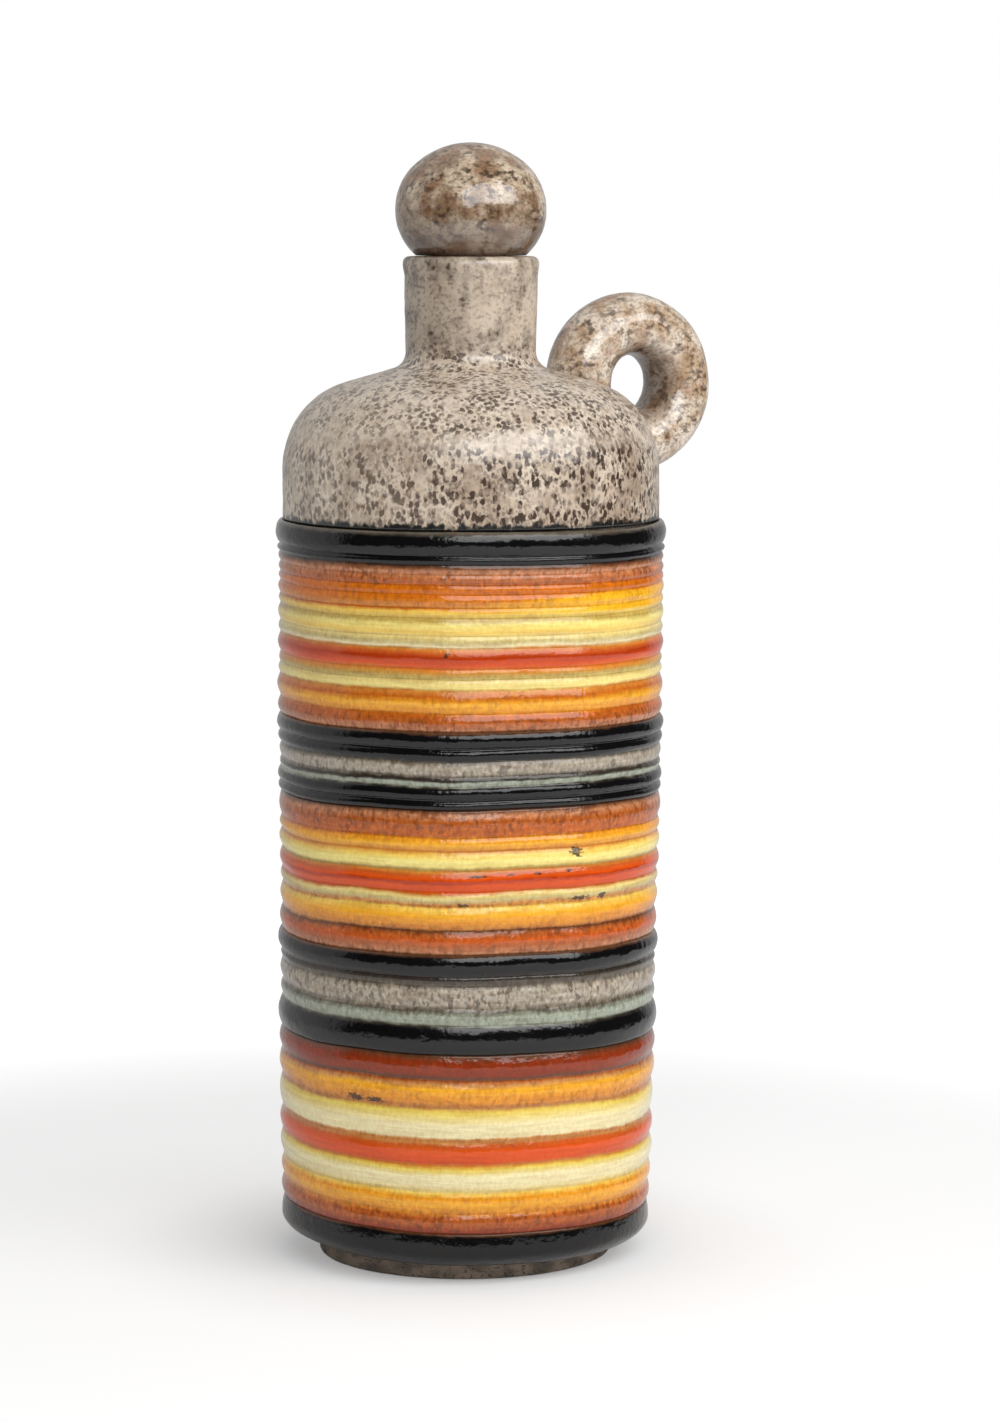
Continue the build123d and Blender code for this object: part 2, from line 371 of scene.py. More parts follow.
def lathe(name, outline, steps, closed=False):
    """Extrudes an outline from one vertex, spins a sixteenth of a turn and doubles it up to a whole."""
    bpy.ops.object.select_all(action="DESELECT")
    start = outline[0]
    bpy.ops.mesh.primitive_plane_add(size=MM, location=(start[0], 0, start[1]))
    piece = bpy.context.object
    piece.name = name
    piece.data.name = name
    bpy.ops.object.transform_apply(location=True)
    bpy.ops.object.mode_set(mode="EDIT")
    bpy.ops.mesh.merge(type="CENTER")
    path = outline + [start] if closed else outline
    for here, there in zip(path, path[1:]):
        move = (there[0] - here[0], 0, there[1] - here[1])
        bpy.ops.mesh.extrude_region_move(TRANSFORM_OT_translate={"value": move})
    bpy.ops.mesh.select_all(action="SELECT")
    wedge = 2 * math.pi / 2**DOUBLINGS
    bpy.ops.mesh.spin(steps=steps // 2**DOUBLINGS, angle=wedge, center=(0, 0, 0), axis=(0, 0, 1))
    for doubling in range(DOUBLINGS):
        bpy.ops.mesh.select_all(action="SELECT")
        bpy.ops.mesh.duplicate()
        turn = wedge * 2**doubling
        bpy.ops.transform.rotate(value=turn, orient_axis="Z", center_override=(0, 0, 0))
    seal_mesh()
    print(name, len(piece.data.polygons), "faces")
    return piece


def corners_of(piece):
    """A piece's corner points as rows of x, y and z."""
    places = np.zeros(len(piece.data.vertices) * 3)
    piece.data.vertices.foreach_get("co", places)
    return places.reshape(-1, 3)


def note(piece, name, values):
    """Keeps a number or a vector for each corner of a piece, for its material to read."""
    kind, field = ("FLOAT_VECTOR", "vector") if np.ndim(values) == 2 else ("FLOAT", "value")
    attribute = piece.data.attributes.new(name, kind, "POINT")
    attribute.data.foreach_set(field, np.asarray(values, float).ravel())


# %% [markdown]
# Under the bands the wall is a plain cone, and each band swells into one or more rings. The
# frame says where every band begins and how far the wall leans out, so only the rings inside a
# band are listed here, as a potter would call them out: how much of the band, how proud.

# %% Throwing rings
ON_THE_LINE = 0.05 * MM


def reach_at(node, level):
    """Greatest distance from the axis among a frame node's corners at one height."""
    places = corners_of(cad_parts[node])
    near = places[abs(places[:, 2] - level) < ON_THE_LINE]
    return float(np.hypot(near[:, 0], near[:, 1]).max())


band_names = sorted((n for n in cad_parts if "_band_" in n), key=lambda n: -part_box(n)[1].z)
band_tops = {name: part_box(name)[1].z for name in band_names}
band_feet = {name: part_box(name)[0].z for name in band_names}
bands_top = band_tops[band_names[0]]
bands_foot = band_feet[band_names[-1]]
groove_high = band_feet[band_names[0]]
groove_low = band_tops[band_names[-1]]
groove_high_radius = reach_at(band_names[1], groove_high)
groove_low_radius = reach_at(band_names[-2], groove_low)

# Rings of each band from its top down: share of the band's height, rise in millimetres.
# A band that isn't listed has one soft ring.
BAND_RINGS = {
    "black_band_1": [(0.76, 1.2), (0.24, 0.85)],
    "rust_band_1": [(0.5, 0.5), (0.5, 0.5)],
    "orange_band_1": [(0.4, 0.5), (0.6, 0.6)],
    "yellow_band_1": [(0.25, 0.45), (0.45, 0.7), (0.3, 0.55)],
    "yellow_band_2": [(0.5, 0.5), (0.5, 0.55)],
    "black_band_2": [(0.6, 1.2), (0.4, 0.9)],
    "grey_band_1": [(0.6, 0.6), (0.4, 0.55)],
    "black_band_3": [(0.6, 1.1), (0.4, 0.95)],
    "amber_band_2": [(1.0, 0.6)],
    "yellow_band_4": [(1.0, 0.6)],
    "black_band_4": [(0.7, 1.3), (0.3, 0.5)],
    "grey_band_2": [(0.55, 0.75), (0.45, 0.65)],
    "black_band_5": [(1.0, 1.3)],
    "black_band_6": [(1.0, 0.85)],
}
ONE_SOFT_RING = [(1.0, 0.82)]
PROUD_RISE = 0.84
PROUD_FULLNESS = 0.7
SOFT_FULLNESS = 1.25
TURNED_UNDER = 3.0 * MM
TURNED_UP = 0.3 * MM
NARROWED_FOOT = 1.0 * MM
NARROWED_BELOW = 42 * MM
NARROWING_POWER = 1.3
RING_DEPTH = 0.3 * MM
ROW = 0.5 * MM
FEWEST_ROWS = 4
WALL_STEPS = 640


def groove_radius(level):
    """Radius of the glaze in a groove, along the wall's slight flare and narrower near the foot."""
    share = (level - groove_low) / (groove_high - groove_low)
    narrowed = NARROWED_FOOT * max(0, 1 - level / NARROWED_BELOW) ** NARROWING_POWER
    return groove_low_radius + (groove_high_radius - groove_low_radius) * share - RING_DEPTH - narrowed


def ring_outline():
    """Outline of the banded wall from the top down, and how proud of its groove each point is.

    The proud rings are beads, full to their edges, and the low ones are soft waves. The lowest
    band is also turned in under the wall."""
    outline, crests = [], []
    for name in band_names:
        upper = band_tops[name]
        tall = upper - band_feet[name]
        for share, rise in BAND_RINGS.get(name, ONE_SOFT_RING):
            rows = max(FEWEST_ROWS, round(tall * share / ROW))
            fullness = PROUD_FULLNESS if rise > PROUD_RISE else SOFT_FULLNESS
            for row in range(rows):
                along = row / rows
                swell = math.sin(math.pi * along) ** fullness
                under = max(0, 2 * along - 1) ** 2 if name == band_names[-1] else 0
                level = upper - tall * share * along
                radius = groove_radius(level) + rise * MM * swell - TURNED_UNDER * under
                outline.append((radius, level + TURNED_UP * under))
                crests.append(swell)
            upper -= tall * share
    outline.append((groove_radius(bands_foot) - TURNED_UNDER, bands_foot + TURNED_UP))
    crests.append(0)
    return outline, crests


outline, crests = ring_outline()
wall = lathe("thrown_bands", outline, WALL_STEPS)
wall_rest = corners_of(wall)
levels = [point[1] for point in outline]
crest_at = np.interp(-wall_rest[:, 2], [-level for level in levels], crests)
note(wall, "thrown", wall_rest)
note(wall, "crest", crest_at)
groove_radii = [round(radius / MM, 2) for radius in (groove_low_radius, groove_high_radius)]
print("banded wall of", groove_radii, "mm at its lowest and highest groove")

# %% [markdown]
# No ring on a hand-thrown bottle is quite level or round. Corners could be pushed one by one, but
# soft clouds of noise do it better: one wide cloud lifts and lowers the rings, a flatter one
# swells them here and there, and small ones leave drags and pin dimples. The clouds hang in space,
# so pieces that meet are pushed alike.

# %% Hand and clay: displacement
CLOUDS_MIDDLE = (0.31, 0.17, 0.05)


def cloud(name, grain, stretch, depth=2):
    """A cloud texture and the empty that stretches it."""
    texture = bpy.data.textures.new(name, "CLOUDS")
    texture.noise_scale = 1
    texture.noise_depth = depth
    bpy.ops.object.empty_add(location=CLOUDS_MIDDLE)
    holder = bpy.context.object
    holder.name = name
    holder.scale = [grain * MM * part for part in stretch]
    return texture, holder


# Each cloud, the direction in which it pushes and its strength in millimetres
CLOUDS = {
    "wander": (cloud("wander", 55, (1, 1, 2.2), 1), "Z", 2.0),
    "swell": (cloud("swell", 38, (1, 1, 0.5), 1), "NORMAL", 0.7),
    "drag": (cloud("drag", 11, (1, 1, 0.24)), "NORMAL", 0.26),
    "dimple": (cloud("dimple", 1.9, (1, 1, 1)), "NORMAL", 0.085),
}


def push(piece, cloud_name, factor=1.0, group=""):
    """Pushes a piece's corners by a cloud and applies the change."""
    (texture, holder), direction, strength = CLOUDS[cloud_name]
    alone(piece)
    bpy.ops.object.modifier_add(type="DISPLACE")
    change = piece.modifiers[-1]
    change.texture = texture
    change.texture_coords = "OBJECT"
    change.texture_coords_object = holder
    change.direction = direction
    change.strength = strength * factor * MM
    change.mid_level = 0.5
    change.vertex_group = group
    bpy.ops.object.modifier_apply(modifier=change.name)


for name in CLOUDS:
    push(wall, name)
moved = np.abs(corners_of(wall) - wall_rest).max(0) / MM
print("clouds moved the wall by up to", [round(float(m), 2) for m in moved], "mm")

# %% [markdown]
# The whole bottle also leans a hair, as a leather-hard pot set down by hand, and its bands tilt
# with it, lower on the right. A lattice bends all pieces of the body together, so they stay one
# inside the other, and it leaves the neck and the shoulder where the frame has them. The foot and
# the clay wall get a second one without the tilt, so that the bottle still stands flat.

# %% Lean: a lattice round the body
LEAN = 2.0 * MM
LEAN_POWER = 1.5
BAND_TILT = 0.0124
TILT_AT_TOP = 0.4
TILT_GROWTH = 4
CAGE_WIDE = 140 * MM
LATTICE_ROWS = 7


def bending_cage(name, tilt):
    """A lattice that shifts aside towards the foot, and drops to the right by the tilt's slope."""
    bpy.ops.object.add(type="LATTICE", location=(0, 0, bands_top / 2))
    cage = bpy.context.object
    cage.name = name
    cage.data.points_u = 2
    cage.data.points_v = 2
    cage.data.points_w = LATTICE_ROWS
    cage.scale = (CAGE_WIDE, CAGE_WIDE, bands_top)
    for point in cage.data.points:
        depth_share = 0.5 - point.co.z
        shift = view_right * (-LEAN * depth_share**LEAN_POWER / CAGE_WIDE)
        to_right = Vector((point.co.x, point.co.y, 0)).dot(view_right) * CAGE_WIDE
        drop = to_right * tilt * min(1, TILT_AT_TOP + TILT_GROWTH * depth_share)
        point.co_deform = point.co + Vector((shift.x, shift.y, -drop / bands_top))
    return cage


def lean(piece, cage, group=""):
    """Bends a piece with a lattice and applies the change."""
    alone(piece)
    bpy.ops.object.modifier_add(type="LATTICE")
    piece.modifiers[-1].object = cage
    piece.modifiers[-1].vertex_group = group
    bpy.ops.object.modifier_apply(modifier=piece.modifiers[-1].name)


tilted_cage = bending_cage("tilted_cage", BAND_TILT)
level_cage = bending_cage("level_cage", 0)
lean(wall, tilted_cage)
print("lean of", LEAN / MM, "mm at the foot")

# %% [markdown]
# One mesh for all bands would be too heavy and too large for one painted map, so the
# wall is cut into sections, always in a groove beside a black band where no eye rests. Each
# section gets a rim turned inwards and a plain back, so that it is a closed coat of glaze.

# %% Cut the wall into sections
SECTIONS = {
    "upper_colour_bands": ("black_band_1", "rust_band_2"),
    "upper_grey_bands": ("black_band_2", "black_band_3"),
    "middle_colour_bands": ("rust_band_3", "rust_band_4"),
    "lower_grey_bands": ("black_band_4", "black_band_5"),
    "lower_colour_bands": ("rust_band_5", "rust_band_6"),
    "foot_black_band": ("black_band_6", "black_band_6"),
}
COAT = 0.8 * MM


def bands_between(first, last):
    """Names of the bands from one to another, both included."""
    return band_names[band_names.index(first): band_names.index(last) + 1]


def select_corners(piece, chosen):
    """Goes into edit mode with only the chosen corners of the active piece selected."""
    bpy.ops.object.mode_set(mode="EDIT")
    bpy.ops.mesh.select_mode(type="VERT")
    bpy.ops.mesh.select_all(action="DESELECT")
    bpy.ops.object.mode_set(mode="OBJECT")
    piece.data.vertices.foreach_set("select", chosen)
    bpy.ops.object.mode_set(mode="EDIT")


def cut_section(name, upper, lower):
    """Splits the part of the wall between two heights off as a piece of its own."""
    alone(wall)
    bpy.ops.object.duplicate()
    piece = bpy.context.object
    piece.name = name
    piece.data.name = name
    rest = np.zeros(len(piece.data.vertices) * 3)
    piece.data.attributes["thrown"].data.foreach_get("vector", rest)
    level = rest.reshape(-1, 3)[:, 2]
    select_corners(piece, (level > upper + SAME_PLACE) | (level < lower - SAME_PLACE))
    bpy.ops.mesh.delete(type="VERT")
    bpy.ops.mesh.select_all(action="SELECT")
    bpy.ops.mesh.region_to_loop()
    bpy.ops.mesh.extrude_region_move()
    inner = 1 - COAT / groove_high_radius
    bpy.ops.transform.resize(value=(inner, inner, 1), center_override=(0, 0, 0))
    bpy.ops.mesh.bridge_edge_loops()
    bpy.ops.mesh.select_all(action="SELECT")
    bpy.ops.mesh.normals_make_consistent(inside=False)
    bpy.ops.object.mode_set(mode="OBJECT")
    print(name, len(piece.data.polygons), "faces")
    return piece


band_sections = {}
for name, (first, last) in SECTIONS.items():
    section = cut_section(name, band_tops[first], band_feet[last])
    band_sections[name] = section
    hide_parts(*bands_between(first, last))
bpy.data.objects.remove(wall)
print(len(band_sections), "sections")

# %% [markdown]
# Under the glaze the clay wall follows the lean, and below it the foot is bare clay, trimmed to a
# narrower ring while it was upside down on the wheel. Both stand for the frame's own solids, with
# the same inside, because a leaning skin over an upright wall would let the clay poke through.

# %% Clay wall and foot
CLAY_STEP = 6 * MM
CLAY_STEPS = 128
FOOT_FLARE = 0.3 * MM
FOOT_EDGE = 5.2 * MM
FOOT_SEAM = 6.6 * MM
UNDERCUT = 0.9 * MM
FOOT_ROUNDINGS = [0.9 * MM, 1.2 * MM, 0.6 * MM, 0.4 * MM]
FOOT_STEP = 0.8 * MM
FOOT_STEPS = 352
BEHIND_SKIN = 1 * MM
UNDER_SLAB_TOP = 0.1 * MM
wall_low, wall_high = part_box("body_wall")
slab_low, slab_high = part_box("base_slab")
cavity_radius = reach_at("interior_glaze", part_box("interior_glaze")[0].z)
foot_radius = reach_at("base_slab", slab_low.z)
wall_outside = groove_radius(wall_low.z) - COAT, groove_radius(wall_high.z) - COAT
wall_corners = [
    Vector((wall_outside[1], wall_high.z)),
    Vector((wall_outside[0], wall_low.z)),
    Vector((cavity_radius, wall_low.z)),
    Vector((cavity_radius, wall_high.z)),
]
clay_wall = lathe("thrown_wall", spaced(wall_corners, CLAY_STEP), CLAY_STEPS, closed=True)
foot_corners = [
    (0, slab_low.z),
    (foot_radius - FOOT_FLARE, slab_low.z),
    (foot_radius + FOOT_FLARE, FOOT_EDGE),
    (groove_radius(bands_foot) - TURNED_UNDER - UNDERCUT, FOOT_SEAM),
    (wall_outside[0], slab_high.z),
    (0, slab_high.z),
]
foot = lathe("trimmed_foot", rounded(foot_corners, FOOT_ROUNDINGS, FOOT_STEP), FOOT_STEPS)


def skin_group(piece, weights):
    """Names the corners that may be pushed and bent as a piece's skin, each with its weight."""
    skin = piece.vertex_groups.new(name="skin")
    for index, weight in enumerate(weights):
        if weight > 0:
            skin.add([index], float(weight), "REPLACE")


clay_places = corners_of(clay_wall)
foot_places = corners_of(foot)
outer_face = np.hypot(clay_places[:, 0], clay_places[:, 1]) > cavity_radius + BEHIND_SKIN
below_slab = foot_places[:, 2] < slab_high.z - UNDER_SLAB_TOP
for piece, places, outside in ((clay_wall, clay_places, outer_face), (foot, foot_places, below_slab)):
    skin_group(piece, outside)
    note(piece, "thrown", places)
    lean(piece, level_cage, "skin")
push(foot, "drag", 0.9, "skin")
push(foot, "dimple", 1.2, "skin")
flat = corners_of(foot)
flat[:, 2] = np.maximum(flat[:, 2], slab_low.z)
foot.data.vertices.foreach_set("co", flat.ravel())
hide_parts("body_wall")
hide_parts("base_slab")
print("foot of", round(foot_radius / MM * 2, 1), "mm")

# %% [markdown]
# The shoulder and the neck are one sweep of sand-coloured glaze. The outline runs from the top
# band up the round shoulder, hollows into the neck, swells to a collar and rolls over the lip
# into the bore, then comes back on the clay side, so that the coat is a closed skin.

# %% Shoulder and neck coat
dome_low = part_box("shoulder_glaze")[0]
neck_low, neck_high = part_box("neck_glaze")
dome_radius = reach_at("shoulder_glaze", dome_low.z)
neck_root = reach_at("neck_glaze", neck_low.z)
collar_radius = max(abs(neck_high.x), abs(neck_low.x))
SHOULDER_SLOPE = math.radians(16.6)
SHOULDER_ROUNDING = 25.4 * MM
NECK_FILLET = 5.0 * MM
NECK_TOP_RADIUS = 19.2 * MM
NECK_BEND = 4 * MM
COLLAR_TALL = 5.5 * MM
COLLAR_SWELL = 2.5 * MM
COLLAR_BEND = 2 * MM
LIP_ROUNDING = 1.9 * MM
BORE_RADIUS = 11.55 * MM
SEAM_ABOVE_CORNER = 4.4 * MM
COAT_STEP = 0.75 * MM
COAT_BACK_STEP = 2.5 * MM
COAT_STEPS = 480


def coat_outline(inset, step):
    """Outline of the speckled coat from the bands to the bore, inset from its surface."""
    corner_high = neck_low.z - SEAM_ABOVE_CORNER
    lift = inset / math.cos(SHOULDER_SLOPE)
    side_high = corner_high - (dome_radius - inset - neck_root) * math.tan(SHOULDER_SLOPE) - lift
    root_high = corner_high + inset * math.tan(SHOULDER_SLOPE) - lift
    lip = neck_high.z - inset
    corners = [
        (dome_radius - inset, dome_low.z),
        (dome_radius - inset, side_high),
        (neck_root - inset, root_high),
        (neck_root - inset, neck_low.z),
        (NECK_TOP_RADIUS - inset, neck_high.z - COLLAR_TALL),
        (collar_radius - inset, neck_high.z - COLLAR_TALL + COLLAR_SWELL),
        (collar_radius - inset, lip),
        (BORE_RADIUS, lip),
    ]
    radii = [
        SHOULDER_ROUNDING - inset, NECK_FILLET + inset, NECK_BEND, NECK_BEND, COLLAR_BEND,
        LIP_ROUNDING - inset,
    ]
    return rounded(corners, radii, step)


coat_outside = coat_outline(0, COAT_STEP)
coat_inside = coat_outline(COAT, COAT_BACK_STEP)
sand_coat = lathe("speckled_coat", coat_outside + coat_inside[::-1], COAT_STEPS, closed=True)
sand_rest = corners_of(sand_coat)
note(sand_coat, "thrown", sand_rest)
print("coat from", round(dome_low.z / MM, 1), "to", round(neck_high.z / MM, 1), "mm")

# %% [markdown]
# Only the coat's outside may be pushed about: its back lies on the clay. Which corners are outside
# is found from the two outlines, and near the lip and the top band the push fades, so that the
# lip stays round for the stopper and the coat still meets the black band.

# %% Unevenness of the shoulder and neck
LIP_KEPT = 0.3 * MM
LIP_FADE = 3 * MM
EDGE_FADE = 2 * MM
EDGE_SHARE = 0.35


def on_outline(places, outline):
    """1 for each corner that lies on an outline of radius and height, and 0 for the rest."""
    points = np.stack([np.hypot(places[:, 0], places[:, 1]), places[:, 2]], axis=1)
    best = np.full(len(points), 1.0)
    for start, end in zip(np.array(outline), np.array(outline)[1:]):
        along = end - start
        share = np.clip(((points - start) @ along) / (along @ along), 0, 1)
        best = np.minimum(best, np.linalg.norm(points - start - share[:, None] * along, axis=1))
    return (best < ON_THE_LINE).astype(float)


outer_share = on_outline(sand_rest, coat_outside)
outer_share *= np.clip((neck_high.z - LIP_KEPT - sand_rest[:, 2]) / LIP_FADE, 0, 1)
outer_share *= np.clip((sand_rest[:, 2] - dome_low.z) / EDGE_FADE, EDGE_SHARE, 1)
skin_group(sand_coat, outer_share)
for name, factor in (("swell", 0.9), ("drag", 0.7), ("dimple", 1.5)):
    push(sand_coat, name, factor, "skin")
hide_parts("shoulder_glaze", "neck_glaze")
print("outside corners of the coat:", int((outer_share > 0).sum()))

# %% [markdown]
# The handle is a coil of clay bent to three quarters of a ring, with both ends pressed into the
# shoulder. An oval circle is spun about the ring's middle, and each end is extruded on into the
# shoulder in short steps that grow a little, as clay spreads when it is luted on.

# %% Ring handle
handle_low, handle_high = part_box("handle_glaze")
COIL_HALF_THICK = 9.15 * MM
coil_half_wide = handle_high.y
ring_radius = (handle_high.z - handle_low.z) / 2 - COIL_HALF_THICK
ring_middle = Vector((handle_high.x - COIL_HALF_THICK - ring_radius, 0, (handle_low.z + handle_high.z) / 2))
HANDLE_SIDES = 96
RING_STEPS = 132
RING_TURN = math.radians(270)
END_STEPS = 8
LOWER_END = 6.5 * MM
UPPER_END = 6.0 * MM
LOWER_SPREAD = 0.012
UPPER_SPREAD = 0.02

bpy.ops.object.select_all(action="DESELECT")
section_place = ring_middle + Vector((0, 0, -ring_radius))
bpy.ops.mesh.primitive_circle_add(
    vertices=HANDLE_SIDES, radius=COIL_HALF_THICK, location=section_place, rotation=(0, math.pi / 2, 0))
handle = bpy.context.object
handle.name = "ring_handle_coat"
handle.data.name = "ring_handle_coat"
bpy.ops.object.transform_apply(location=True, rotation=True)
bpy.ops.object.mode_set(mode="EDIT")
bpy.ops.mesh.select_all(action="SELECT")
bpy.ops.transform.resize(value=(1, coil_half_wide / COIL_HALF_THICK, 1), center_override=section_place)
bpy.ops.mesh.spin(steps=RING_STEPS, angle=RING_TURN, center=ring_middle, axis=(0, 1, 0))
bpy.ops.object.mode_set(mode="OBJECT")
print("ring of", round(ring_radius / MM, 1), "mm about", [round(c / MM, 1) for c in ring_middle])


def run_on(piece, at_end, move, spread):
    """Extrudes the open end of the coil on in steps, each a little larger than the last."""
    places = corners_of(piece)
    select_corners(piece, at_end(places))
    centre = Vector(places[at_end(places)].mean(0))
    for step in range(END_STEPS):
        bpy.ops.mesh.extrude_region_move(TRANSFORM_OT_translate={"value": move / END_STEPS})
        centre += move / END_STEPS
        grow = 1 + spread * ((step + 1) / END_STEPS) ** 2
        bpy.ops.transform.resize(value=(grow, grow, grow), center_override=centre)
    bpy.ops.mesh.edge_face_add()
    bpy.ops.object.mode_set(mode="OBJECT")


def at_lower_end(places):
    """Whether each corner is on the coil's end under the ring's middle."""
    return (abs(places[:, 0] - ring_middle.x) < SAME_PLACE) & (places[:, 2] < ring_middle.z)


def at_upper_end(places):
    """Whether each corner is on the coil's end beside the ring's middle."""
    return (abs(places[:, 2] - ring_middle.z) < SAME_PLACE) & (places[:, 0] < ring_middle.x)


run_on(handle, at_lower_end, Vector((-LOWER_END, 0, 0)), LOWER_SPREAD)
run_on(handle, at_upper_end, Vector((0, 0, -UPPER_END)), UPPER_SPREAD)
alone(handle)
bpy.ops.object.mode_set(mode="EDIT")
seal_mesh()
note(handle, "thrown", corners_of(handle))
for name, factor in (("swell", 1.1), ("drag", 0.6), ("dimple", 1.0)):
    push(handle, name, factor)
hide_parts("handle_glaze")
print("ring_handle_coat", len(handle.data.polygons), "faces")

# %% [markdown]
# The stopper's ball is a flattened ball on a flat seat. Its outline is two arcs that meet
# smoothly, a rounder one at the side and a flatter one over the crown, turned like the rest.

# %% Ball stopper
ball_low, ball_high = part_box("ball_glaze")
ball_radius = ball_high.x
SIDE_ROUNDING = 17.6 * MM
SEAT_DROP = 12.5 * MM
SEAT_RIM = 0.5 * MM
SEAT_FADE = 2 * MM
BALL_COAT = 0.6 * MM
BALL_STEP = 0.45 * MM
BALL_BACK_STEP = 2 * MM
BALL_STEPS = 320
ball_centre = ball_low.z + SEAT_DROP
ball_half_height = ball_high.z - ball_centre
side_offset = ball_radius - SIDE_ROUNDING
squares = ball_radius**2 + ball_half_height**2 - 2 * ball_radius * SIDE_ROUNDING
crown_rounding = squares / (2 * (ball_half_height - SIDE_ROUNDING))
crown_drop = crown_rounding - ball_half_height
crown_turn = math.atan2(crown_drop, side_offset)


def arc(centre, radius, start, end, step):
    """Points along an arc, given by its angles."""
    count = max(2, round(abs(end - start) * radius / step))
    angles = [start + (end - start) * part / count for part in range(count + 1)]
    return [(centre[0] + radius * math.cos(a), centre[1] + radius * math.sin(a)) for a in angles]


def ball_outline(inset, step):
    """Outline of the ball's coat from the seat, where it hangs down as a thin rim, to the crown."""
    start = -math.asin((SEAT_DROP + SEAT_RIM) / (SIDE_ROUNDING - inset))
    side = arc((side_offset, ball_centre), SIDE_ROUNDING - inset, start, crown_turn, step)
    crown = arc((0, ball_centre - crown_drop), crown_rounding - inset, crown_turn, math.pi / 2, step)
    return side + crown[1:]


ball_outside = [(max(r, 0), z) for r, z in ball_outline(0, BALL_STEP)]
ball_inside = [(max(r, 0), z) for r, z in ball_outline(BALL_COAT, BALL_BACK_STEP)]
ball = lathe("ball_coat", ball_outside + ball_inside[::-1], BALL_STEPS, closed=True)
ball_rest = corners_of(ball)
note(ball, "thrown", ball_rest)
ball_share = on_outline(ball_rest, ball_outside)
ball_share *= np.clip((ball_rest[:, 2] - ball_low.z) / SEAT_FADE, 0, 1)
skin_group(ball, ball_share)
for name, factor in (("swell", 0.9), ("drag", 0.6), ("dimple", 1.1)):
    push(ball, name, factor, "skin")
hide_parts("ball_glaze")
print("ball", round(ball_radius / MM * 2, 1), "mm wide")

# %% [markdown]
# The empties that held the clouds and the two lattices have done their work, because every push
# was applied to its mesh. They could be hidden, but they are removed, so that only the bottle is
# left.

# %% Tidy the helpers away
cloud_holders = [holder for (_, holder), _, _ in CLOUDS.values()]
for helper in (*cloud_holders, tilted_cage, level_cage):
    bpy.data.objects.remove(helper)
print(len(cloud_holders), "empties and two lattices removed")

# %% [markdown]
# A potter mixes a few glazes and lets them melt into each other, so the bands are painted from a
# short palette. Each band lists its glazes from its top down with how freckled they fire. One
# colour ramp along the height carries them all, and the height itself is first bent by noise, so
# borders wander and fray as brushed glaze does.

# %% Palette and bands
# Glazes by name, in the colours of a screen
PALETTE = {
    "black": (12, 12, 14), "soot": (58, 52, 46), "umber": (100, 66, 44), "slate": (104, 98, 86),
    "grey": (180, 171, 156), "sage": (166, 175, 158), "rust": (182, 98, 42), "red_rust": (146, 54, 20),
    "pink_rust": (200, 138, 98), "tan": (208, 148, 86), "orange": (216, 116, 14), "burnt": (200, 104, 26),
    "honey": (240, 160, 38), "amber": (252, 184, 52), "ochre": (220, 144, 58), "deep_gold": (252, 192, 36),
    "gold": (250, 212, 98), "yellow": (252, 236, 142), "straw": (242, 222, 142), "olive": (194, 170, 88),
    "khaki": (206, 192, 132), "cream": (246, 235, 184), "red": (228, 84, 12), "deep_red": (178, 54, 10),
    "brick": (206, 96, 38), "lemon": (238, 214, 98),
}
